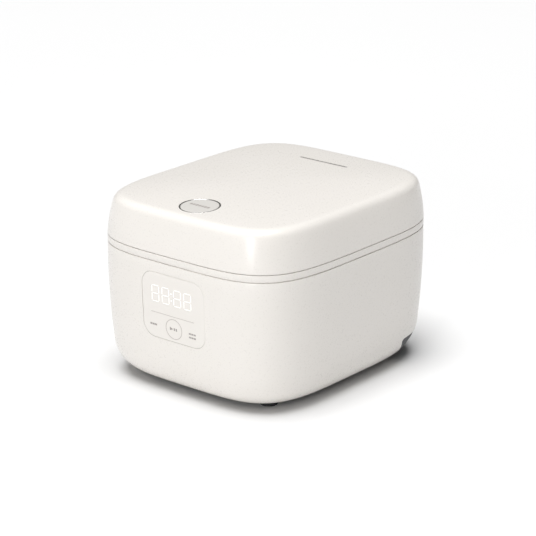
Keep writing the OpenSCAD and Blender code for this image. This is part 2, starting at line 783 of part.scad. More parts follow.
// Lower cover of the lid, with a drum over the pot and ears for the latch
module lid_liner() {
    ear_x = hook_w / 2 + ear_gap + spring_room;
    color(light_grey) centred() difference() {
        union() {
            skin([flat_ring(liner_in, liner_z), flat_ring(liner_in, liner_top)]);
            cylinder_at(0, 0, liner_z, drum_r + drum_wall, drum_top - liner_z);
            for (sx = [-1, 1]) translate([sx > 0 ? ear_x : -ear_x - ear_w, latch_y - 5, liner_top - 1])
                cube([ear_w, 10, latch_z + 5 - liner_top + 1]);
        }
        cylinder_at(0, 0, liner_z - 1, drum_r, drum_h + 1);
        translate([-hook_w / 2 - 1.5, slot_front, liner_z - 1])
            cube([hook_w + 3, slot_rear + 1 - slot_front, 5]);
        along_x(-ear_x - ear_w - 1, latch_y, latch_z, latch_pin_r, 2 * (ear_x + ear_w + 1));
        for (sx = [-1, 1], sy = [-1, 1]) translate([sx * lid_boss_x, sy * lid_boss_y, liner_z - 1])
            cylinder(r = screw_r + 0.2, h = 5, $fn = 24);
        for (sx = [-1, 1], sy = [-1, 1]) translate([sx * lid_boss_x, sy * lid_boss_y, liner_z - 1])
            cylinder(r = 3.2, h = 1.6, $fn = 32);
        for (sx = [-1, 1]) translate([sx * arm_screw_x, arm_y + 7, liner_z - 1]) {
            cylinder(r = screw_r + 0.2, h = 5, $fn = 24);
            cylinder(r = 3.2, h = 1.6, $fn = 32);
        }
        cylinder_at(0, valve_y, drum_roof - 1, tube_r + touch_gap, 6);
        cylinder_at(-45, 35, drum_roof - 1, 5, 6);
    }
}

module cylinder_at(x, y, z, r, h) {
    translate([x, y, z]) cylinder(r = r, h = h, $fn = r > 50 ? 128 : 48);
}

module liner_screws() {
    color(steel) centred() for (sx = [-1, 1], sy = [-1, 1])
        translate([sx * lid_boss_x, sy * lid_boss_y, liner_z - 1.2]) {
            translate([0, 0, 0.2]) cylinder(r = 2.8, h = 1.6, $fn = 32);
            cylinder(r = screw_r, h = 10, $fn = 24);
        }
}

// Removable aluminium plate over the pot, dished towards its middle
module lid_plate() {
    r1 = gasket_r - plate_in;
    z1 = lid_plate_z;
    dish_r = r1 - 24;
    color(steel) centred() difference() {
        rotate_extrude($fn = 128) polygon([[0, z1 - 2], [dish_r, z1 - 2], [dish_r + 8, z1], [r1, z1],
            [r1, z1 + lid_plate_t], [dish_r + 7.5, z1 + lid_plate_t], [dish_r - 0.5, z1 - 2 + lid_plate_t],
            [0, z1 - 2 + lid_plate_t]]);
        cylinder_at(0, valve_y, z1 - 4, valve_r - 3, 8);
        cylinder_at(-45, 35, z1 - 4, 5, 8);
    }
}

// Silicone ring that grips the plate's edge and seals on the pot's rim
module lid_gasket() {
    r1 = gasket_r - plate_in;
    z1 = lid_plate_z;
    low = rim_top + fit_gap;
    color(clear_rubber) centred() rotate_extrude($fn = 128) polygon([[r1 - 3, z1 - 1.5], [r1 + 1, z1 - 1.5],
        [gasket_r - 6, low], [gasket_r, low], [gasket_r, drum_roof], [gasket_r - 3, drum_roof],
        [gasket_r - 3, z1 + 3], [r1 - 3, z1 + 3], [r1 - 3, z1 + lid_plate_t], [r1, z1 + lid_plate_t],
        [r1, z1], [r1 - 3, z1]]);
}

// Chamber between the valve's tube and the slot in the lid
module steam_box() {
    low = drum_top + 0.1;
    top = crown_z(slot_l / 2, slot_y + 8) - wall - 1;
    front = valve_y - 14;
    back = slot_y + 8;
    half = slot_l / 2 + 4;
    color(light_grey) centred() difference() {
        union() {
            translate([-half, front, low]) cube([2 * half, back - front, top - low]);
            cylinder_at(0, valve_y, drum_roof, tube_r, low - drum_roof + 1);
        }
        translate([-half + 1.5, front + 1.5, low + 1.5]) cube([2 * half - 3, back - front - 3, top - low]);
        cylinder_at(0, valve_y, drum_roof - 1, tube_r - 1.5, 12);
    }
}

// Valve cup under the lid's plate
module steam_valve() {
    z1 = lid_plate_z - 2;
    color(light_grey) centred() difference() {
        union() {
            cylinder_at(0, valve_y, z1 - 3.5, valve_r, 3.5);
            cylinder_at(0, valve_y, z1 - 0.5, tube_r - 1.7, drum_top - z1 + 1.5);
        }
        cylinder_at(0, valve_y, z1 - 2, tube_r - 3.5, 20);
        for (a = [0:60:300]) translate([0, valve_y, 0]) rotate(a) translate([4.5, -1, z1 - 5])
            cube([5.5, 2, 3.6]);
    }
}

module lid_sensor() {
    z1 = lid_plate_z - 2;
    color(steel) centred() {
        cylinder_at(-45, 35, z1 - 3, 7, 3);
        cylinder_at(-45, 35, z1 - 0.5, 4.5, drum_top - z1 + 3);
    }
}

// Ring and sleeve that guide the button and carry its spring
module button_ring() {
    color(light_grey) centred() intersection() {
        difference() {
            cylinder_at(0, button_at, sleeve_low, hole_r, 40);
            cylinder_at(0, button_at, sleeve_low + sleeve_floor, sleeve_r, 40);
            cylinder_at(0, button_at, sleeve_low - 1, 8, 40);
        }
        skin(lid_rings(0));
    }
}

module button_spring() {
    color(steel) centred() translate([0, button_at, sleeve_low + sleeve_floor])
        spring_turns(11, 0.6, button_top - button_t - sleeve_low - sleeve_floor - touch_gap, 6);
}

module lid_button() {
    under = button_top - button_t;
    color(warm_white) centred() union() {
        intersection() {
            difference() {
                cylinder_at(0, button_at, button_top - skirt_h, button_r, 40);
                cylinder_at(0, button_at, button_top - skirt_h - 1, button_r - 2, skirt_h + 1 - button_t);
            }
            skin(lid_rings(0));
        }
        cylinder_at(0, button_at, lever_top + 4, 4, under - lever_top - 3);
        cylinder_at(0, button_at, lever_top + fit_gap, 1.5, 5);
    }
}

// Lever under the button and hook down through the band, on one hub
module latch_hook() {
    color(light_grey) centred() difference() {
        union() {
            rotate([90, 0, 90]) linear_extrude(hook_w, center = true) union() {
                translate([latch_y, latch_z]) circle(r = hub_r);
                translate([hook_front, hook_low]) square([hook_t, latch_z - hook_low]);
                polygon([[hook_front, hook_low], [hook_front + hook_t + nose_l, hook_low + 1.5],
                    [hook_front + hook_t + nose_l, hook_low + nose_t], [hook_front, hook_low + nose_t]]);
            }
            translate([-5, latch_y, latch_z]) cube([10, 22, lever_top - latch_z]);
        }
        along_x(-hook_w, latch_y, latch_z, latch_pin_r + pin_play, 2 * hook_w);
    }
}

module latch_pin() {
    reach = hook_w / 2 + ear_gap + spring_room + ear_w;
    color(steel) centred() along_x(-reach - 0.5, latch_y, latch_z, latch_pin_r, 2 * reach + 1);
}

module latch_spring() {
    color(steel) centred() for (sx = [-1, 1])
        translate([sx > 0 ? hook_w / 2 + ear_gap : -hook_w / 2 - ear_gap - spring_room, latch_y, latch_z])
            rotate([0, 90, 0]) spring_turns(latch_pin_r + 0.9, 0.4, spring_room, 4);
}

outer_shell();
base_cover();
feet();
base_screws();
seam_band();
panel_window();
display_module();
key_springs();
control_board();
board_screws();
jacket();
heating_plate();
plate_screws();
sensor_guide();
sensor_spring();
pot_sensor();
thermal_fuse();
power_board();
power_parts();
power_inlet();
inlet_pins();
inner_pot();
hinge_bracket();
bracket_screws();
hinge_pin();
hinge_springs();
latch_catch();
catch_screws();
lid_shell();
lid_liner();
liner_screws();
lid_plate();
lid_gasket();
steam_box();
steam_valve();
lid_sensor();
hinge_arm();
arm_screws();
button_ring();
button_spring();
lid_button();
latch_hook();
latch_pin();
latch_spring();
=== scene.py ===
import json
import math

import bmesh
import bpy
from mathutils import Matrix, Vector


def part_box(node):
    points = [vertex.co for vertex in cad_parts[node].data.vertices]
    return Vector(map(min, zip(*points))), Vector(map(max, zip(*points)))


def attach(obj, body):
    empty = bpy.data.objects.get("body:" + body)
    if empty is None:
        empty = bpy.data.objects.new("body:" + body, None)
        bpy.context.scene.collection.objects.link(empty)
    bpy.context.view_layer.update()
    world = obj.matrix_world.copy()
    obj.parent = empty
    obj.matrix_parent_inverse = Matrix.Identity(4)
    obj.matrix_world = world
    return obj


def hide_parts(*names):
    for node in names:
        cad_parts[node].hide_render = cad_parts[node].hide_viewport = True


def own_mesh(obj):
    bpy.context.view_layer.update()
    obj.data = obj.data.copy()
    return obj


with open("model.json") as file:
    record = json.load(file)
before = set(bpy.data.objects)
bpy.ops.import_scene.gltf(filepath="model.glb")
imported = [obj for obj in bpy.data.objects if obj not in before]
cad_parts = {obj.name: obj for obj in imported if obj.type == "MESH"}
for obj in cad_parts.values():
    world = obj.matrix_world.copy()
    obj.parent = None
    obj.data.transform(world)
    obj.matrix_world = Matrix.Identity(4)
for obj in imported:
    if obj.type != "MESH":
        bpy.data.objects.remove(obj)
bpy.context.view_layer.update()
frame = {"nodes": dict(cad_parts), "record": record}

MM = 0.001
scene = bpy.context.scene


# ---------------------------------------------------------------- sizes, in millimetres
def box_mm(node):
    """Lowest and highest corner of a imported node."""
    low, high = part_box(node)
    return low / MM, high / MM


band_low, band_high = box_mm("seam_band")
shell_low, shell_high = box_mm("outer_shell")
lid_low, lid_high = box_mm("lid_shell")
half_w = band_high.x
half_d = (band_high.y - band_low.y) / 2
mid_y = (band_high.y + band_low.y) / 2

# body
body_square = 4.2
side_taper, side_belly, face_taper = 5.3, 2.2, 2.7
foot_round_w, foot_round_h = 17, 30
wall = 2.5
seam_gap = 0.8
shell_z = shell_low.z
shell_top = shell_high.z + seam_gap / 2
band_z, band_top = shell_top + seam_gap / 2, band_high.z
seam_z = band_top + seam_gap / 2
seam_close = 0.15       # how far each lip of the lid's seam reaches into the gap
deck_z = band_top - wall
deck_under = deck_z - 2.5
opening_in = side_taper + foot_round_w + wall
rim_soft = 0.7           # rounding along the moulded edges

# lid
lid_square = 4.75
lid_in_x, lid_in_y, lid_set_back = 10.7, 6.9, 1.2
edge_round = 7
crown_h = 4.1
edge_z = lid_high.z - crown_h
lid_side_h = edge_z - seam_z

# button, slot and latch
ring_low, ring_high = box_mm("button_ring")
cap_low, cap_high = box_mm("lid_button")
hole_r = (ring_high.x - ring_low.x) / 2
button_r = (cap_high.x - cap_low.x) / 2
button_y = (ring_high.y + ring_low.y) / 2 - mid_y
slot_l, slot_w, slot_y = 62, 3, 91.5
button_gap = 0.35

# control window
window_low, window_high = box_mm("panel_window")
window_w = window_high.x - window_low.x
window_h = window_high.z - window_low.z
window_mid = (window_high.z + window_low.z) / 2
window_r = 14.8
window_gap = 0.2

# pot
pot_low, pot_high = box_mm("inner_pot")
rim_r = pot_high.x
pot_r, pot_wall, pot_round, rim_t = 102, 2, 18, 2
throat_r = 105


# ---------------------------------------------------------------- shape helpers
def side_in(s):
    """How far the body's side comes in, from 0 at its top to 1 at its foot."""
    return side_taper * s - 4 * side_belly * s * (1 - s)


def depth_of(z):
    return (shell_top - z) / (shell_top - shell_z)


def body_ring(come_in, z):
    """The body's outline at a height: half width, half depth, squareness, height, set-back."""
    return (half_w - come_in, half_d - come_in - face_taper * depth_of(z), body_square, z, 0)


def flat_ring(come_in, z):
    return (half_w - come_in, half_d - come_in, body_square, z, 0)


def circle_ring(r, z):
    return (r, r, 2, z, 0)


def on_outline(ring, turn):
    """A point of a rounded outline, by its direction from the middle."""
    a, b, square, z, back = ring
    c, s = math.cos(2 * math.pi * turn), math.sin(2 * math.pi * turn)
    r = 0 if a < 0.001 else (abs(c / a) ** square + abs(s / b) ** square) ** (-1 / square)
    return Vector((r * c, r * s + back + mid_y, z)) * MM


def warped(shape, columns, rows, place):
    """A grid of faces whose points are put in place by their share across and up."""
    made = bmesh.ops.create_grid(shape, x_segments=columns, y_segments=rows, size=1)["verts"]
    for v in made:
        v.co = place((v.co.x + 1) / 2, (v.co.y + 1) / 2)
    return made


def skin(rings, around=288, place=on_outline):
    """A closed moulding: its rings run round the section and back to the first."""
    shape = bmesh.new()
    loop = list(rings) + [rings[0]]
    steps = len(loop) - 1
    warped(shape, around, steps, lambda u, v: place(loop[round(v * steps)], u))
    bmesh.ops.remove_doubles(shape, verts=shape.verts, dist=1e-7)
    bmesh.ops.recalc_face_normals(shape, faces=shape.faces)
    return shape


def wire_free(shape):
    """Takes out the edges that no face uses, where a skin closed on itself."""
    bmesh.ops.delete(shape, geom=[e for e in shape.edges if not e.link_faces], context="EDGES")
    return shape


def turned(profile, around=48):
    """A turned solid about Z, from a closed profile of (radius, height)."""
    def at(ring, turn):
        r, z = ring
        return Vector((r * math.cos(2 * math.pi * turn), r * math.sin(2 * math.pi * turn), z)) * MM
    return wire_free(skin(profile, around, at))


def block(shape, low, high):
    """A plain block between two corners, to cut with or to build on."""
    size, middle = Vector(high) - Vector(low), (Vector(high) + Vector(low)) / 2
    place = Matrix.Translation(middle * MM) @ Matrix.Diagonal((*(size * MM), 1))
    return bmesh.ops.create_cube(shape, size=1, matrix=place)["verts"]


def rounded_rect(w, h, r, turn):
    """A point on a rounded rectangle, with even steps round each corner."""
    corner, share = divmod(turn * 4 % 4, 1)
    sx, sy = ((1, 1), (-1, 1), (-1, -1), (1, -1))[int(corner)]
    angle = (corner + share) * math.pi / 2
    return (sx * (w / 2 - r) + r * math.cos(angle), sy * (h / 2 - r) + r * math.sin(angle))


def to_mesh(shape, name):
    mesh = bpy.data.meshes.new(name)
    shape.to_mesh(mesh)
    shape.free()
    return mesh


def carved(shape, cutter):
    """The shape with the cutter's solids taken out of it."""
    things = [bpy.data.objects.new("work_" + n, to_mesh(s, n))
              for n, s in (("body", shape), ("cutter", cutter))]
    for thing in things:
        scene.collection.objects.link(thing)
    cut = things[0].modifiers.new("cut", "BOOLEAN")
    cut.operation, cut.solver, cut.object = "DIFFERENCE", "EXACT", things[1]
    mesh = bpy.data.meshes.new_from_object(
        things[0].evaluated_get(bpy.context.evaluated_depsgraph_get()))
    result = bmesh.new()
    result.from_mesh(mesh)
    for thing in things:
        bpy.data.objects.remove(thing)
    bmesh.ops.remove_doubles(result, verts=result.verts, dist=1e-6)
    bmesh.ops.dissolve_degenerate(result, edges=result.edges, dist=1e-6)
    return result


def eased(shape, width, above=40, segments=2):
    """Rounds every edge that is sharper than an angle."""
    edges = [e for e in shape.edges
             if len(e.link_faces) == 2 and e.calc_face_angle(0) > math.radians(above)]
    bmesh.ops.bevel(shape, geom=edges, offset=width * MM, offset_type="OFFSET", affect="EDGES",
                    segments=segments, profile=0.5, material=-1, clamp_overlap=True)
    return shape


def copied(node):
    """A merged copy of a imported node's shape, with its flat faces whole again."""
    shape = bmesh.new()
    shape.from_mesh(frame["nodes"][node].data)
    bmesh.ops.remove_doubles(shape, verts=shape.verts, dist=1e-6)
    bmesh.ops.dissolve_limit(shape, angle_limit=math.radians(1), verts=shape.verts,
                             edges=shape.edges)
    return shape


def solids_of(node):
    """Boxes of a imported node's separate solids, in millimetres."""
    shape, boxes = copied(node), []
    left = set(shape.verts)
    while left:
        group = edge = {left.pop()}
        while edge:
            edge = {v for g in edge for e in g.link_edges for v in e.verts} & left
            group, left = group | edge, left - edge
        low, high = (Vector(f(v.co[k] for v in group) for k in range(3)) / MM for f in (min, max))
        boxes.append((low, high))
    shape.free()
    return sorted(boxes, key=lambda b: tuple(round(c) for c in (b[0] + b[1]) / 2))


def piece(name, shape, body, finish, nodes=(), sharp=35):
    """A finished piece: smooth faces, its material, its body and what it stands for."""
    mesh = to_mesh(shape, name)
    mesh.materials.append(finish)
    for face in mesh.polygons:
        face.use_smooth = True
    mesh.set_sharp_from_angle(angle=math.radians(sharp))
    thing = bpy.data.objects.new(name, mesh)
    scene.collection.objects.link(thing)
    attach(thing, body)
    if nodes:
        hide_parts(*nodes)
    return thing


def coil(shape, place, r, wire, length, turns):
    """A round-wire spring that climbs from a placed foot along its own Z."""
    steps = 24
    old = set(shape.verts)
    section = bmesh.ops.create_circle(shape, segments=8, radius=wire * MM, cap_ends=True)["verts"]
    bmesh.ops.transform(shape, verts=section, matrix=Matrix.Translation((r * MM, 0, wire * MM))
                        @ Matrix.Rotation(math.pi / 2, 4, "X"))
    parts = section + list({e for v in section for e in v.link_edges}) + list(section[0].link_faces)
    rise = (length - 2 * wire) * MM / (turns * steps)
    bmesh.ops.spin(shape, geom=parts, angle=2 * math.pi * turns, steps=turns * steps,
                   axis=(0, 0, 1), cent=(0, 0, 0), dvec=(0, 0, rise))
    bmesh.ops.transform(shape, verts=[v for v in shape.verts if v not in old], matrix=place)


def aimed(at, axis):
    """A placing that turns Z to an axis and moves it to a point given in millimetres."""
    turn = Vector((0, 0, 1)).rotation_difference(Vector(axis))
    return Matrix.Translation(Vector(at) * MM) @ turn.to_matrix().to_4x4()


# ---------------------------------------------------------------- material helpers
def tone(code):
    """An sRGB hex colour as linear light."""
    parts = [int(code[i:i + 2], 16) / 255 for i in (0, 2, 4)]
    return [p / 12.92 if p <= 0.04045 else ((p + 0.055) / 1.055) ** 2.4 for p in parts] + [1]


def put(tree, kind, settings=None, links=None):
    """Adds a node with its settings and links. A setting is an input or a property."""
    made = tree.nodes.new(kind)
    for key, value in (settings or {}).items():
        if isinstance(key, int) or key in made.inputs:
            made.inputs[key].default_value = value
        else:
            setattr(made, key, value)
    for key, source in (links or {}).items():
        tree.links.new(source, made.inputs[key])
    return made


def surface(name, **settings):
    """A new material with its main shader set, and that shader."""
    material = bpy.data.materials.new(name)
    material.use_nodes = True
    shader = material.node_tree.nodes["Principled BSDF"]
    for key, value in settings.items():
        shader.inputs[key.replace("_", " ")].default_value = value
    return material, material.node_tree, shader


def moulded(name, light, dark, rough, grain=1.6, depth=0.02, patch=45, **settings):
    """A moulded plastic: slow shade drift, an eroded grain and a slightly uneven gloss."""
    material, tree, shader = surface(name, **settings)
    place = put(tree, "ShaderNodeTexCoord").outputs["Object"]
    drift = put(tree, "ShaderNodeTexNoise", {"Scale": 1 / (patch * MM), "Detail": 2},
                {"Vector": place})
    fine = put(tree, "ShaderNodeTexNoise", {"Scale": 1 / (grain * MM), "Detail": 3},
               {"Vector": place})
    shade = put(tree, "ShaderNodeMixRGB", {"Color1": tone(light), "Color2": tone(dark)},
                {"Fac": drift.outputs["Fac"]})
    gloss = put(tree, "ShaderNodeMapRange", {"To Min": rough - 0.04, "To Max": rough + 0.05},
                {"Value": fine.outputs["Fac"]})
    bump = put(tree, "ShaderNodeBump", {"Strength": 0.5, "Distance": depth * MM},
               {"Height": fine.outputs["Fac"]})
    tree.links.new(shade.outputs["Color"], shader.inputs["Base Color"])
    tree.links.new(gloss.outputs["Result"], shader.inputs["Roughness"])
    tree.links.new(bump.outputs["Normal"], shader.inputs["Normal"])
    return material


def worked(name, light, dark, rough, squeeze, line=0.5, depth=0.01, spread=0.12):
    """A worked metal: fine lines of tool marks, drawn out along the squeezed axes."""
    material, tree, shader = surface(name, Metallic=1)
    place = put(tree, "ShaderNodeTexCoord").outputs["Object"]
    drawn = put(tree, "ShaderNodeMapping", {"Scale": squeeze}, {"Vector": place})
    lines = put(tree, "ShaderNodeTexNoise", {"Scale": 1 / (line * MM), "Detail": 2},
                {"Vector": drawn.outputs["Vector"]})
    drift = put(tree, "ShaderNodeTexNoise", {"Scale": 1 / (25 * MM), "Detail": 2},
                {"Vector": place})
    both = put(tree, "ShaderNodeMath", {"operation": "MULTIPLY"},
               {0: lines.outputs["Fac"], 1: drift.outputs["Fac"]})
    shade = put(tree, "ShaderNodeMixRGB", {"Color1": tone(dark), "Color2": tone(light)},
                {"Fac": lines.outputs["Fac"]})
    gloss = put(tree, "ShaderNodeMapRange",
                {"From Max": 0.5, "To Min": rough, "To Max": rough + spread},
                {"Value": both.outputs["Value"]})
    bump = put(tree, "ShaderNodeBump", {"Strength": 0.4, "Distance": depth * MM},
               {"Height": lines.outputs["Fac"]})
    tree.links.new(shade.outputs["Color"], shader.inputs["Base Color"])
    tree.links.new(gloss.outputs["Result"], shader.inputs["Roughness"])
    tree.links.new(bump.outputs["Normal"], shader.inputs["Normal"])
    return material


# ---------------------------------------------------------------- materials
# Moulded polypropylene, warm white. Satin, with a fine eroded grain, real grit about 0.3 mm,
# drawn at 1.6 mm so that it still shows.
white_pp = moulded("warm_white_polypropylene", "ECE8E3", "EAE6E0", 0.28, depth=0.012,
                   Coat_Weight=0.15, Coat_Roughness=0.25)
# In-mould film over clear polycarbonate: smoother and a touch glossier than the body.
window_film = moulded("white_in_mould_film", "ECE8E3", "EAE6E0", 0.22, grain=3, depth=0.004,
                      Coat_Weight=0.4, Coat_Roughness=0.08)
# Painted ABS of the button: even satin, slightly greyer than the lid.
button_paint = moulded("satin_button_paint", "D9D6D2", "D5D2CD", 0.3, grain=1.2, depth=0.01)
# Satin chrome plating on the button's ring.
ring_plate = worked("satin_chrome_plating", "F2F2F0", "E2E2E0", 0.18, (1, 1, 4), line=0.8)
# Textured black polypropylene of the base, spark-eroded, so dull and slightly mottled.
base_pp = moulded("dark_grey_polypropylene", "4A4A4C", "3F4042", 0.55, grain=1.2, depth=0.06,
                  patch=20)
# Moulded rubber of the feet: dull, with dust in its fine pores.
foot_rubber = moulded("black_moulded_rubber", "333436", "292A2B", 0.8, grain=0.9, depth=0.05,
                      patch=6)
# Light grey polypropylene of the lid's liner.
liner_pp = moulded("light_grey_polypropylene", "DAD9D6", "D2D1CE", 0.4, grain=1.6, depth=0.02)
# Natural acetal of the latch and the arm: waxy and slightly translucent.
acetal = moulded("natural_acetal", "E6E3DC", "DEDBD3", 0.32, grain=2, depth=0.008,
                 Subsurface_Weight=0.1, Subsurface_Scale=0.002)
# Black glass-filled nylon of small moulded parts, with a faint flow pattern.
black_nylon = moulded("black_glass_filled_nylon", "2A2B2D", "222325", 0.45, grain=0.8,
                      depth=0.02, patch=8)
# Phenolic black of the mains inlet: hard, with a low gloss.
inlet_black = moulded("black_inlet_thermoset", "232325", "1B1B1C", 0.38, grain=1.0,
                      depth=0.015, patch=10)
# Clear silicone, milky, with a slight bloom.
silicone = moulded("milky_silicone", "E3E2DC", "D8D7D0", 0.42, grain=2.5, depth=0.01,
                   Subsurface_Weight=0.3, Subsurface_Scale=0.004)
# Zinc-plated steel of the screws.
zinc_steel = worked("zinc_plated_steel", "C9CACC", "A9ABAE", 0.28, (1, 1, 1), line=0.7)
# Patented spring wire, drawn, with a faint oil-dark film.
spring_wire = worked("drawn_spring_wire", "9C9DA0", "7F8184", 0.3, (1, 1, 1), line=0.4)
# Galvanised sheet of the jacket, rolled round, with spangle-like drift.
jacket_sheet = worked("galvanised_sheet", "C6C8CA", "A7AAAD", 0.32, (1, 1, 0.05), line=1.2,
                      spread=0.2)
# Sand-cast aluminium of the heating plate, machined on its face.
cast_aluminium = worked("cast_aluminium", "B9BABC", "9B9C9E", 0.42, (1, 1, 1), line=0.8, depth=0.05)
# Spun stainless steel of the sensor cap.
spun_steel = worked("spun_stainless_steel", "C8C8C6", "B2B2B0", 0.24, (1, 1, 0.1), line=0.6)
# Brass of the pins, with a dull tarnish.
pin_brass = worked("tarnished_brass", "C9A75E", "A98A48", 0.3, (1, 0.1, 1), line=0.5)
# Anodised aluminium of the lid's plate, brushed in one direction before anodising.
anodised = worked("brushed_anodised_aluminium", "D4D5D6", "BFC0C2", 0.3, (0.04, 1, 1), line=0.9)

# Non-stick coating inside the pot: dark grey with pale mica flecks, real flecks about 0.5 mm,
# drawn at about 1.5 mm.
pot_coat, tree, shader = surface("flecked_non_stick_coating", Coat_Weight=0.3, Coat_Roughness=0.2)
place = put(tree, "ShaderNodeTexCoord").outputs["Object"]
flecks = put(tree, "ShaderNodeTexVoronoi", {"Scale": 1 / (2.2 * MM)}, {"Vector": place})
speck = put(tree, "ShaderNodeMapRange",
            {"From Min": 0.16, "From Max": 0.22, "To Min": 1, "To Max": 0},
            {"Value": flecks.outputs["Distance"]})
few = put(tree, "ShaderNodeMath", {"operation": "GREATER_THAN", 1: 0.72},
          {0: flecks.outputs["Color"]})
shown = put(tree, "ShaderNodeMath", {"operation": "MULTIPLY"},
            {0: speck.outputs["Result"], 1: few.outputs["Value"]})
shade = put(tree, "ShaderNodeMixRGB", {"Color1": tone("4B4A4A"), "Color2": tone("A9A6A0")},
            {"Fac": shown.outputs["Value"]})
grit = put(tree, "ShaderNodeTexNoise", {"Scale": 1 / (1.2 * MM), "Detail": 3}, {"Vector": place})
gloss = put(tree, "ShaderNodeMapRange", {"To Min": 0.32, "To Max": 0.5},
            {"Value": grit.outputs["Fac"]})
bump = put(tree, "ShaderNodeBump", {"Strength": 0.4, "Distance": 0.02 * MM},
           {"Height": grit.outputs["Fac"]})
tree.links.new(shade.outputs["Color"], shader.inputs["Base Color"])
tree.links.new(gloss.outputs["Result"], shader.inputs["Roughness"])
tree.links.new(bump.outputs["Normal"], shader.inputs["Normal"])

# Bare glass-epoxy board under green solder mask: copper runs show through as lighter lines.
board_mask, tree, shader = surface("green_solder_mask", Coat_Weight=0.5, Coat_Roughness=0.15)
place = put(tree, "ShaderNodeTexCoord").outputs["Object"]
cells = put(tree, "ShaderNodeTexBrick",
            {"Scale": 1 / (5 * MM), "Mortar Size": 0.06, "Color1": tone("2A5B41"),
             "Color2": tone("27553D"), "Mortar": tone("3F7F5A")}, {"Vector": place})
weave = put(tree, "ShaderNodeTexNoise", {"Scale": 1 / (0.8 * MM)}, {"Vector": place})
gloss = put(tree, "ShaderNodeMapRange", {"To Min": 0.25, "To Max": 0.4},
            {"Value": weave.outputs["Fac"]})
tree.links.new(cells.outputs["Color"], shader.inputs["Base Color"])
tree.links.new(gloss.outputs["Result"], shader.inputs["Roughness"])

# Resin-dipped and taped parts on the power board: amber to brown with a soft gloss.
resin_dip = moulded("amber_resin_dip", "B98B46", "8E6530", 0.35, grain=1.5, depth=0.03, patch=9)
# Lit segments behind the film: even white light with a softer edge.
lit_white, tree, shader = surface("lit_display_segments", Roughness=0.4, Emission_Strength=0.2)
place = put(tree, "ShaderNodeTexCoord").outputs["Object"]
cloud = put(tree, "ShaderNodeTexNoise", {"Scale": 1 / (6 * MM)}, {"Vector": place})
glow = put(tree, "ShaderNodeMixRGB", {"Color1": tone("FFFFFD"), "Color2": tone("FAF8F4")},
           {"Fac": cloud.outputs["Fac"]})
tree.links.new(glow.outputs["Color"], shader.inputs["Base Color"])
tree.links.new(glow.outputs["Color"], shader.inputs["Emission Color"])
# Warm grey screen-printing ink of the key marks.
grey_ink = moulded("warm_grey_ink", "C4BDB8", "BBB4AF", 0.5, grain=0.7, depth=0.005, patch=3)
# Darker ink of the small symbols.
dark_ink = moulded("grey_symbol_ink", "A8A19D", "9D9692", 0.5, grain=0.7, depth=0.005, patch=3)

# ---------------------------------------------------------------- body shell
shell_edge = shell_top - seam_gap / 2


def up_the_body(w, top, lowest):
    """The body's profile from an angle of the foot's rounding up, set in by a wall."""
    line = []
    for q in range(lowest, 0, -6):
        out, down = math.cos(math.radians(q)), math.sin(math.radians(q))
        z = shell_z + w + (foot_round_h - w) * (1 - down)
        line.append(body_ring(side_in(depth_of(z)) + foot_round_w * (1 - out) + w, z))
    low = shell_z + foot_round_h
    return line + [body_ring(side_in(depth_of(z)) + w, z)
                   for z in (low + (top - low) * k / 12 for k in range(13))]


def rounding(ring, come_in, z, r, steps=5):
    """Rings that turn an upright side into a flat top, over a small radius."""
    arc = [math.radians(90 * k / steps) for k in range(1, steps + 1)]
    return [ring(come_in + r - r * math.cos(a), z - r + r * math.sin(a)) for a in arc]


def prism(shape, loop, start, end, lift):
    """A straight-sided solid on a loop of points, which lift places at a depth along its axis."""
    ring = bmesh.ops.create_circle(shape, segments=len(loop), radius=1, cap_ends=True)["verts"]
    for v, point in zip(ring, loop):
        v.co = lift(*point, start) * MM
    made = bmesh.ops.extrude_face_region(shape, geom=list(ring[0].link_faces))["geom"]
    bmesh.ops.translate(shape, verts=[g for g in made if isinstance(g, bmesh.types.BMVert)],
                        vec=(lift(0, 0, end) - lift(0, 0, start)) * MM)


def along_y(x, z, y):
    return Vector((x, y + mid_y, z))


def along_x(y, z, x):
    return Vector((x, y + mid_y, z))


def along_z(x, y, z):
    return Vector((x, y + mid_y, z))


ledge_w, ledge_z, ledge_t = 11, shell_z + wall + 0.2, 2.5
inner = up_the_body(wall, shell_edge, 60)
ledge_in = half_w - inner[0][0]
shell_rings = (up_the_body(0, shell_edge - rim_soft, 90)
               + rounding(body_ring, 0, shell_edge, rim_soft)
               + inner[::-1]
               + [body_ring(ledge_in + 1, ledge_z + ledge_t),
                  body_ring(opening_in + ledge_w, ledge_z + ledge_t),
                  body_ring(opening_in + ledge_w, ledge_z), body_ring(opening_in, ledge_z),
                  body_ring(opening_in, shell_z + 0.4), body_ring(opening_in - 0.4, shell_z)])

cutter = bmesh.new()
hole = [rounded_rect(window_w + 2 * window_gap, window_h + 2 * window_gap,
                     window_r + window_gap, k / 96) for k in range(96)]
prism(cutter, [(x, z + window_mid) for x, z in hole], -half_d - 5, -half_d + 8, along_y)
cut_low_y, cut_high_y = half_d - 63, half_d - 72
cut_top, cut_corner = shell_z + 22, 4
corner = [(cut_high_y + cut_corner * (1 - math.cos(a)), cut_top - cut_corner * (1 - math.sin(a)))
          for a in (math.radians(10 + 80 * k / 6) for k in range(7))]
prism(cutter, [(cut_low_y, shell_z - 5), (cut_low_y, shell_z + 1), *corner, (half_d + 20, cut_top),
               (half_d + 20, shell_z - 5)], -half_w - 20, half_w + 20, along_x)
inlet_low, inlet_high = box_mm("power_inlet")
block(cutter, (inlet_low.x - 0.2, mid_y + half_d - 12, inlet_low.z - 0.2),
      (inlet_high.x + 0.2, mid_y + half_d + 8, inlet_high.z + 0.2))
bracket_low, bracket_high = box_mm("hinge_bracket")
bracket_face = mid_y + half_d - 1.1
block(cutter, (bracket_low.x - 0.2, bracket_face, bracket_low.z - 0.2),
      (bracket_high.x + 0.2, bracket_face + 10, shell_top + 20))
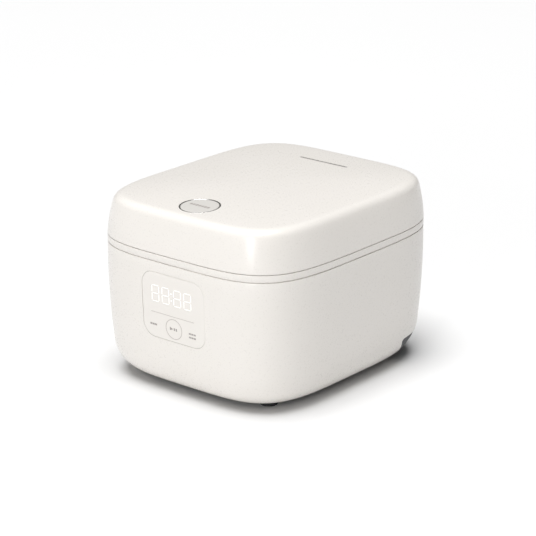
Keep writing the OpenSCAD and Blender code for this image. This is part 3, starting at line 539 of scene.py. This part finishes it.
bmesh.ops.recalc_face_normals(cutter, faces=cutter.faces)
piece("body_shell", carved(skin(shell_rings), cutter), "root", white_pp,
      ["outer_shell"])

# ---------------------------------------------------------------- seam band and deck
lip = wall + 0.4         # the band's lower lip stands inside the shell's wall
lip_top = band_top + seam_close
groove_in, groove_z = 1.1, shell_edge + 0.12      # floor of the lower seam
band_rings = ([flat_ring(0.5, band_z), flat_ring(0.15, band_z + 0.15), flat_ring(0, band_z + 0.5),
               flat_ring(0, (band_z + band_top) / 2), flat_ring(0, lip_top - rim_soft)]
              + rounding(flat_ring, 0, lip_top, rim_soft)
              + [flat_ring(wall, lip_top), flat_ring(wall, deck_z + 0.5),
                 flat_ring(wall + 0.15, deck_z + 0.15), flat_ring(wall + 0.5, deck_z),
                 circle_ring(throat_r + 0.6, deck_z), circle_ring(throat_r + 0.2, deck_z - 0.2),
                 circle_ring(throat_r, deck_z - 0.6), circle_ring(throat_r, deck_under),
                 flat_ring(lip + 2, deck_under), flat_ring(lip + 2, shell_top - 5),
                 flat_ring(lip, shell_top - 5), flat_ring(lip, groove_z),
                 flat_ring(groove_in, groove_z), flat_ring(groove_in, band_z)])
hook_low, hook_high = box_mm("latch_hook")
cutter = bmesh.new()
block(cutter, (hook_low.x - 1.5, hook_low.y - 6, deck_under - 1),
      (hook_high.x + 1.5, hook_low.y + 5.5, deck_z + 8))
block(cutter, (bracket_low.x, mid_y + half_d - 10, shell_top - 8),
      (bracket_high.x, mid_y + half_d + 10, band_z))
bmesh.ops.recalc_face_normals(cutter, faces=cutter.faces)
piece("band", carved(skin(band_rings), cutter), "root", white_pp, ["seam_band"])

# ---------------------------------------------------------------- control window and its marks


def front_y(x, z):
    """The body's front face at a point, before the middle is set."""
    a, b, square = body_ring(side_in(depth_of(z)), z)[:3]
    return -b * (1 - abs(x / a) ** square) ** (1 / square)


def on_window(ring, turn):
    inset, scale, behind = ring
    x, z = rounded_rect(window_w - 2 * inset, window_h - 2 * inset, window_r - inset, turn)
    x, z = x * scale, z * scale + window_mid
    return Vector((x, front_y(x, z) + behind + mid_y, z)) * MM


shares = [1 - k / 8 for k in range(1, 9)]
window_rings = ([(0, 0, wall), (0, 0.5, wall), (0.3, 1, wall), (0, 1, wall - 0.3), (0, 1, 0.5),
                 (0.07, 1, 0.22), (0.22, 1, 0.07), (0.5, 1, 0)] + [(0.5, s, 0) for s in shares])


piece("control_window", wire_free(skin(window_rings, 128, on_window)), "root",
      window_film, ["panel_window"])


ink_t, ink_sunk = 0.06, 0.02


def raised(shape, across, up, place, lift):
    """A thin closed patch: place puts its points on a plane, lift puts them on a surface."""
    made = warped(shape, across, up, lambda u, v: Vector((*place(u, v), 0)))
    faces = list({f for v in made for f in v.link_faces})
    grown = [g for g in bmesh.ops.extrude_face_region(shape, geom=faces)["geom"]
             if isinstance(g, bmesh.types.BMVert)]
    for verts, top in ((made, False), (grown, True)):
        for v in verts:
            v.co = lift(v.co.x, v.co.y, top) * MM


def printed(shape, place, across=8, up=1):
    """A thin patch of ink or light on the window, from a rule for its points."""
    raised(shape, across, up, place, lambda x, z, top: Vector(
        (x, front_y(x, z) + mid_y - (ink_t if top else -ink_sunk), z)))


def bar(shape, x, z, w, h, across=4):
    printed(shape, lambda u, v: (x + w * (u - 0.5), z + h * (v - 0.5)), across)


def finished_print(name, shape, finish):
    bmesh.ops.remove_doubles(shape, verts=shape.verts, dist=1e-8)
    bmesh.ops.recalc_face_normals(shape, faces=shape.faces)
    return piece(name, shape, "root", finish)


digit_w, digit_h, stroke = 9.0, 16.4, 0.85
digit_z = window_mid + 12.5
digits = bmesh.new()
for x in (-22.4, -9.2, 6.0, 19.2):
    for upright, dx, dz in ((0, 0, 1), (0, 0, 0), (0, 0, -1),
                            (1, -1, 0.5), (1, 1, 0.5), (1, -1, -0.5), (1, 1, -0.5)):
        length = digit_h / 2 - 0.5 if upright else digit_w - 0.5

        def segment(u, v, x=x, dx=dx, dz=dz, upright=upright, length=length):
            along = length * (u - 0.5)
            over = stroke * (v - 0.5) * min(1, (0.5 - abs(u - 0.5)) / 0.1)
            at = (x + dx * digit_w / 2, digit_z + dz * digit_h / 2)
            return (at[0] + (over if upright else along), at[1] + (along if upright else over))
        printed(digits, segment)
for dz in (-3.6, 3.6):
    bar(digits, -1.7, digit_z + dz, 1.4, 1.4, 2)
finished_print("display_digits", digits, lit_white)

marks = bmesh.new()
bar(marks, -0.9, window_low.z + 26.8, 56, 0.55, 32)
key_z, key_pitch, key_r = window_low.z + 13.6, 25.5, 10.3
round_once = 2 * math.pi * 0.999
printed(marks, lambda u, v: ((key_r + 0.75 * (v - 0.5)) * math.cos(round_once * u),
                             key_z + (key_r + 0.75 * (v - 0.5)) * math.sin(round_once * u)), 72)
finished_print("key_lines", marks, grey_ink)

symbols = bmesh.new()
for k in (-1, 0, 1):
    bar(symbols, -key_pitch - 1.2 + 3.1 * k, key_z - 0.2, 2.6, 1.9)
printed(symbols, lambda u, v: (-5.2 + 4.4 * u, key_z + 3.6 * (v - 0.5) * (1 - u)), 4)
for x in (0.6, 3.2):
    bar(symbols, x, key_z, 1.5, 2.8)
for row in (-1, 1):
    for k in (-1, 0, 1):
        bar(symbols, key_pitch - 1.6 + 3.1 * k, key_z - 1.6 + 1.9 * row, 2.6, 1.7)
finished_print("key_symbols", symbols, dark_ink)

# ---------------------------------------------------------------- lid cover


def lid_at(s):
    f = (s + s * s) / 2
    return (half_w - lid_in_x * f, half_d - lid_in_y * f,
            body_square + (lid_square - body_square) * s, seam_z + lid_side_h * s,
            lid_set_back * s)


def top_at(r):
    return ((half_w - lid_in_x) * r, (half_d - lid_in_y) * r, lid_square,
            edge_z + crown_h * (1 - r * r), lid_set_back)


def crown_z(x, y):
    """Height of the lid's top over a point, with y from the outline's middle."""
    r = (abs(x / (half_w - lid_in_x)) ** lid_square
         + abs((y - lid_set_back) / (half_d - lid_in_y)) ** lid_square) ** (1 / lid_square)
    return edge_z + crown_h * (1 - r * r)


def less(ring, in_x=0, down=0):
    """A ring brought in on both sides and lowered."""
    a, b, square, z, back = ring
    return (a - in_x, b - in_x, square, z - down, back)


def up_the_lid(w, low):
    """The lid's profile from its lower edge to its middle, set in by a wall."""
    s0, s1 = (low - seam_z) / lid_side_h, 1 - edge_round / lid_side_h
    r1 = 1 - edge_round / (half_w - lid_in_x)
    side = [less(lid_at(s0 + (s1 - s0) * k / 12), w) for k in range(13)]
    corner, first = less(lid_at(1), w, w), less(top_at(r1), 0, w)
    edge = [[(1 - q) ** 2 * a + 2 * q * (1 - q) * b + q * q * c
             for a, b, c in zip(side[-1], corner, first)]
            for q in (k / 10 for k in range(1, 11))]
    return side + edge + [less(top_at(r1 * (1 - k / 16)), 0, w) for k in range(1, 17)]


lid_edge = lid_low.z - seam_close
lid_foot = [less(lid_at((lid_edge + rim_soft * (1 - math.sin(a)) - seam_z) / lid_side_h),
                 rim_soft * (1 - math.cos(a)))
            for a in (math.radians(90 - 18 * k) for k in range(5))]
lid_rings = lid_foot + up_the_lid(0, lid_edge + rim_soft) + up_the_lid(wall, lid_edge)[::-1]
cutter = bmesh.new()
prism(cutter, [(hole_r * math.cos(math.radians(a)), button_y + hole_r * math.sin(math.radians(a)))
               for a in range(0, 360, 3)], edge_z - 12, edge_z + 28, along_z)
prism(cutter, [(x, y + slot_y) for x, y in (rounded_rect(slot_l, slot_w, slot_w / 2 - 0.01, k / 32)
                                            for k in range(32))], edge_z - 12, edge_z + 28, along_z)
block(cutter, (-12.6, mid_y + half_d - 12, lid_edge - 1), (12.6, mid_y + half_d + 8, lid_edge + 10))
bmesh.ops.recalc_face_normals(cutter, faces=cutter.faces)
piece("lid_cover", carved(wire_free(skin(lid_rings)), cutter), "lid", white_pp,
      ["lid_shell"])

# ---------------------------------------------------------------- release button
button_top = crown_z(0, button_y)


def on_button(ring, turn):
    """A point round the button's axis; a height under the crown, or a plain height."""
    r, z, follows = ring
    x, y = r * math.cos(2 * math.pi * turn), button_y + r * math.sin(2 * math.pi * turn)
    return Vector((x, y + mid_y, crown_z(x, y) + z if follows else z)) * MM


cap_rings = ([(button_r * k / 10, 0, True) for k in range(10)]
             + [(button_r - 0.5, 0, True), (button_r - 0.15, -0.15, True), (button_r, -0.5, True),
                (button_r, button_top - 8.5, False), (button_r - 2, button_top - 8.5, False),
                (button_r - 2, button_top - 3, False), (4, button_top - 3, False),
                (4, cap_low.z + 3.7, False), (1.5, cap_low.z + 3.7, False), (1.5, cap_low.z, False),
                (0, cap_low.z, False)])
piece("button_cap", wire_free(skin(cap_rings, 128, on_button)), "button",
      button_paint, ["lid_button"])
sleeve_r = button_r + button_gap
soft = 0.45
turn_in = [(soft * (1 - math.sin(math.radians(a))), soft * (1 - math.cos(math.radians(a))))
           for a in range(90, -1, -18)]
ring_rings = ([(hole_r, ring_low.z, False)] + [(hole_r - r, -z, True) for r, z in turn_in]
              + [(sleeve_r + r, -z, True) for r, z in turn_in[::-1]]
              + [(sleeve_r, ring_low.z + 1.5, False), (8, ring_low.z + 1.5, False),
                 (8, ring_low.z, False)])
piece("button_bezel", skin(ring_rings, 128, on_button), "lid", ring_plate,
      ["button_ring"])

press_mark = bmesh.new()
tick_pitch, tick_w, tick_l = 3.6, 2.4, 3.6
for k in range(-3, 4):
    raised(press_mark, 2, 2, lambda u, v: (tick_pitch * k + tick_w * (u - 0.5),
                                           button_y + tick_l * (v - 0.5)),
           lambda x, y, top: Vector((x, y + mid_y, crown_z(x, y) + (ink_t if top else -ink_sunk))))
bmesh.ops.recalc_face_normals(press_mark, faces=press_mark.faces)
piece("press_mark", press_mark, "button", dark_ink)

# ---------------------------------------------------------------- pot
rim_low, rim_top = pot_high.z - rim_t, pot_high.z
inside_r, inner_round, lip_round = pot_r - pot_wall, pot_round - pot_wall, 1.5
quarter = [math.radians(9 * k) for k in range(1, 11)]
pot_profile = ([(0, pot_low.z), (pot_r - pot_round, pot_low.z)]
               + [(pot_r - pot_round * (1 - math.sin(a)), pot_low.z + pot_round * (1 - math.cos(a)))
                  for a in quarter]
               + [(pot_r, rim_low)]
               + [(rim_r - rim_t / 2 * (1 - math.sin(a)), rim_low + rim_t / 2 * (1 - math.cos(a)))
                  for a in (math.radians(22.5 * k) for k in range(9))]
               + [(inside_r + lip_round * (1 - math.sin(a)),
                   rim_top - lip_round * (1 - math.cos(a)))
                  for a in (math.radians(18 * k) for k in range(6))]
               + [(pot_r - pot_round + inner_round * math.cos(a),
                   pot_low.z + pot_round - inner_round * math.sin(a)) for a in [0] + quarter]
               + [(0, pot_low.z + pot_wall)])


def standing(shape, x, y, z):
    """Moves a turned shape to its place, given in millimetres."""
    bmesh.ops.translate(shape, verts=shape.verts, vec=Vector((x, y, z)) * MM)
    return shape


piece("cooking_pot", standing(turned(pot_profile, 192), 0, mid_y, 0), "root", pot_coat,
      ["inner_pot"])
# Moulded water marks stand up from the pot's wall, one longer line at every second level.
levels = bmesh.new()
level_z, level_pitch, level_h = pot_low.z + 34, 8, 0.9
for k in range(8):
    wide = 16 if k % 2 else 9

    def on_wall(turn, z, top):
        r = inside_r + (-0.3 if top else 0.1)
        return Vector((-r * math.cos(turn), r * math.sin(turn) + mid_y, z))
    raised(levels, 8, 1, lambda u, v: ((u - 0.5) * wide / inside_r,
                                       level_z + level_pitch * k + level_h * (v - 0.5)), on_wall)
bmesh.ops.recalc_face_normals(levels, faces=levels.faces)
piece("water_levels", levels, "root", grey_ink)

# ---------------------------------------------------------------- screws
record = frame["record"]
body_of = {node: body for body, nodes in record["behaviour"]["bodies"].items() for node in nodes}
screw_r, recess_w, recess_l, recess_h = 1.5, 0.8, 3.2, 0.9


def added(target, shape):
    """Adds a finished shape to another one."""
    mesh = to_mesh(shape, "work")
    target.from_mesh(mesh)
    bpy.data.meshes.remove(mesh)


def screws(node, outwards, head_h):
    """A pan-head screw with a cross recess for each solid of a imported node."""
    outwards = Vector(outwards)
    joined = bmesh.new()
    for low, high in solids_of(node):
        size, centre = high - low, (high + low) / 2
        length = abs(size.dot(outwards))
        head_r = (sum(size) - length) / 4
        profile = [(0, -length), (screw_r - 0.5, -length), (screw_r, -length + 0.8),
                   (screw_r, -head_h), (head_r, -head_h), (head_r, -0.6), (head_r - 0.18, -0.25),
                   (head_r - 0.6, 0), (0, 0)]
        a, b = recess_w / 2, recess_l / 2
        cross = bmesh.new()
        prism(cross, [(a, a), (a, b), (-a, b), (-a, a), (-b, a), (-b, -a),
                      (-a, -a), (-a, -b), (a, -b), (a, -a), (b, -a), (b, a)],
              -recess_h, 1, lambda x, y, z: Vector((x, y, z)))
        bmesh.ops.recalc_face_normals(cross, faces=cross.faces)
        one = carved(turned(profile, 32), cross)
        bmesh.ops.transform(one, verts=one.verts,
                            matrix=aimed(centre + outwards * length / 2, outwards))
        added(joined, one)
    piece(node + "_cross", joined, body_of[node], zinc_steel, [node])


screws("base_screws", (0, 0, -1), 1.8)
screws("bracket_screws", (0, 1, 0), 1.6)
screws("liner_screws", (0, 0, -1), 1.6)
screws("arm_screws", (0, 0, -1), 1.8)
screws("board_screws", (0, 1, 0), 1.8)
screws("plate_screws", (0, 0, -1), 1.8)

# ---------------------------------------------------------------- springs


def springs(node, k, wire, turns):
    """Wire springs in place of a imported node's stacked rings, along one axis, with their boxes."""
    rest = [i for i in range(3) if i != k]
    rings = sorted(solids_of(node), key=lambda b: (*(round(b[0][i]) for i in rest), b[0][k]))
    joined, boxes = bmesh.new(), []
    for first in range(0, len(rings), turns):
        group = rings[first:first + turns]
        low = Vector(min(b[0][i] for b in group) for i in range(3))
        high = Vector(max(b[1][i] for b in group) for i in range(3))
        foot = (low + high) / 2
        foot[k] = low[k]
        axis = [0, 0, 0]
        axis[k] = 1
        size = high - low
        coil(joined, aimed(foot, axis), size[rest[0]] / 2 - wire, wire, size[k], turns)
        boxes.append((low, high))
    bmesh.ops.recalc_face_normals(joined, faces=joined.faces)
    thing = piece(node + "_coil", joined, body_of[node], spring_wire, [node],
                  sharp=60)
    return thing, boxes


springs("key_springs", 1, 0.4, 5)
springs("hinge_springs", 0, 0.5, 6)
springs("latch_spring", 0, 0.4, 4)
for node, wire, turns, joint, travel in (("button_spring", 0.6, 6, "button_slide", 2.5),
                                         ("sensor_spring", 0.6, 7, "sensor_slide", 2.5)):
    thing, ((low, high),) = springs(node, 2, wire, turns)
    foot = Vector(((low.x + high.x) / 2, (low.y + high.y) / 2, low.z))
    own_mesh(thing)

# ---------------------------------------------------------------- posts inside the mouldings
posts = bmesh.new()
bore_r, board_post_r, lid_post_r = screw_r + 0.1, 3.5, 4
board_face = box_mm("control_board")[0].y
for low, high in solids_of("board_screws"):
    x, z = (low.x + high.x) / 2, (low.z + high.z) / 2
    front = front_y(x, z) + mid_y + wall - 0.3
    long = board_face - front
    post = turned([(bore_r, 0), (board_post_r, 0), (board_post_r, long - 0.3),
                   (board_post_r - 0.3, long), (bore_r, long)])
    bmesh.ops.transform(post, verts=post.verts, matrix=aimed((x, front, z), (0, 1, 0)))
    added(posts, post)
piece("board_posts", posts, "root", white_pp)

posts = bmesh.new()
liner_t = 2.5
foot = box_mm("lid_liner")[0].z + liner_t + 0.1
for low, high in solids_of("liner_screws"):
    x, y = (low.x + high.x) / 2, (low.y + high.y) / 2
    long = crown_z(x, y - mid_y) - wall + 0.3 - foot
    post = turned([(bore_r, 0), (lid_post_r - 0.3, 0), (lid_post_r, 0.3), (lid_post_r, long),
                   (bore_r, long)])
    added(posts, standing(post, x, y, foot))
piece("lid_posts", posts, "lid", white_pp)

# ---------------------------------------------------------------- pot sensor
sensor_low, sensor_high = box_mm("pot_sensor")
cap_r, cap_wall, cap_t, stem_r, clip_t = (sensor_high.x - sensor_low.x) / 2, 1.2, 2, 5, 1
skirt = box_mm("jacket")[0].z + 3.5
sensor_profile = [(0, sensor_low.z), (stem_r + 1.2, sensor_low.z),
                  (stem_r + 1.5, sensor_low.z + 0.3),
                  (stem_r + 1.5, sensor_low.z + clip_t), (stem_r, sensor_low.z + clip_t),
                  (stem_r, sensor_high.z - cap_t), (cap_r - cap_wall, sensor_high.z - cap_t),
                  (cap_r - cap_wall, skirt), (cap_r - 0.2, skirt), (cap_r, skirt + 0.2),
                  (cap_r, sensor_high.z - 1), (cap_r - 0.3, sensor_high.z - 0.3),
                  (cap_r - 1, sensor_high.z), (0, sensor_high.z)]
piece("sensor_cap", standing(turned(sensor_profile, 96), 0, mid_y, 0), "sensor",
      spun_steel, ["pot_sensor"])

# ---------------------------------------------------------------- parts with softened edges
SOFTENED = {
    "feet": (0.4, foot_rubber), "hinge_bracket": (0.6, white_pp), "hinge_arm": (0.6, acetal),
    "power_inlet": (0.4, inlet_black), "inlet_pins": (0.3, pin_brass), "lid_liner": (0.4, liner_pp),
    "latch_hook": (0.3, acetal), "latch_catch": (0.25, zinc_steel), "steam_box": (0.3, liner_pp),
    "lid_sensor": (0.4, spun_steel),
    "display_module": (0.4, black_nylon), "power_parts": (0.4, resin_dip),
    "hinge_pin": (0.4, spun_steel),
    "heating_plate": (0.4, cast_aluminium), "jacket": (0.25, jacket_sheet),
}
for node, (width, finish) in SOFTENED.items():
    piece(node + "_soft", eased(copied(node), width), body_of[node], finish, [node])

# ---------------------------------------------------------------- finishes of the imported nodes
FINISHES = {
    "base_cover": base_pp, "control_board": board_mask, "sensor_guide": liner_pp,
    "thermal_fuse": zinc_steel, "power_board": board_mask, "catch_screws": zinc_steel,
    "lid_plate": anodised, "lid_gasket": silicone, "latch_pin": spun_steel,
    "steam_valve": liner_pp,
}
for node, finish in FINISHES.items():
    slots = frame["nodes"][node].data.materials
    slots.clear()
    slots.append(finish)

# ---------------------------------------------------------------- floor, light and camera
floor_mesh = bmesh.new()
bmesh.ops.create_grid(floor_mesh, x_segments=8, y_segments=8, size=6)
floor = bpy.data.objects.new("floor", to_mesh(floor_mesh, "floor"))
scene.collection.objects.link(floor)
floor_paint, tree, shader = surface("matt_white_studio_paint", Roughness=0.9)
place = put(tree, "ShaderNodeTexCoord").outputs["Object"]
drift = put(tree, "ShaderNodeTexNoise", {"Scale": 1.5, "Detail": 2}, {"Vector": place})
shade = put(tree, "ShaderNodeMixRGB", {"Color1": tone("EBEBEB"), "Color2": tone("E8E8E8")},
            {"Fac": drift.outputs["Fac"]})
tree.links.new(shade.outputs["Color"], shader.inputs["Base Color"])
floor.data.materials.append(floor_paint)

world = bpy.data.worlds.new("studio")
scene.world = world
world.use_nodes = True
world.node_tree.nodes["Background"].inputs["Color"].default_value = (1, 1, 1, 1)
world.node_tree.nodes["Background"].inputs["Strength"].default_value = 0.08


def from_round(azimuth, elevation, distance):
    """A place about the object's middle, with azimuth 0 in front of it."""
    a, e = math.radians(azimuth), math.radians(elevation)
    away = Vector((math.sin(a) * math.cos(e), -math.cos(a) * math.cos(e), math.sin(e)))
    return middle + away * distance


def soft_light(name, kind, at, power, **settings):
    """A studio light that looks at the object's middle."""
    data = bpy.data.lights.new(name, kind)
    data.energy = power
    for key, value in settings.items():
        setattr(data, key, value)
    lamp = bpy.data.objects.new(name, data)
    lamp.location = at
    lamp.rotation_euler = (middle - at).to_track_quat("-Z", "Y").to_euler()
    scene.collection.objects.link(lamp)


middle = Vector((0, mid_y * MM, 0.1))
soft_light("overhead", "SUN", from_round(0, 84, 2), 3.6, angle=0.8)
soft_light("key_strip", "AREA", from_round(17, 12, 2.2), 10.8, shape="RECTANGLE", size=0.4,
           size_y=0.8)
soft_light("fill_box", "AREA", from_round(12, 27, 2.2), 3.5, shape="RECTANGLE", size=0.9,
           size_y=1.3)

azimuth, elevation = math.radians(39.56), math.radians(18.99)
reach = 2.267
# The aim is below the lid's seam, and a little to the camera's right.
sideways = Vector((math.cos(azimuth), math.sin(azimuth), 0)) * 0.7
aim = (Vector((0, mid_y, seam_z - 48.1)) + sideways) * MM
back = Vector((math.sin(azimuth) * math.cos(elevation), -math.cos(azimuth) * math.cos(elevation),
               math.sin(elevation)))
camera = bpy.data.objects.new("camera", bpy.data.cameras.new("camera"))
camera.data.sensor_width, camera.data.lens = 36, 149.24
camera.location = aim + back * reach
camera.rotation_euler = (-back).to_track_quat("-Z", "Y").to_euler()
scene.collection.objects.link(camera)
scene.camera = camera
scene.view_settings.view_transform = "Standard"
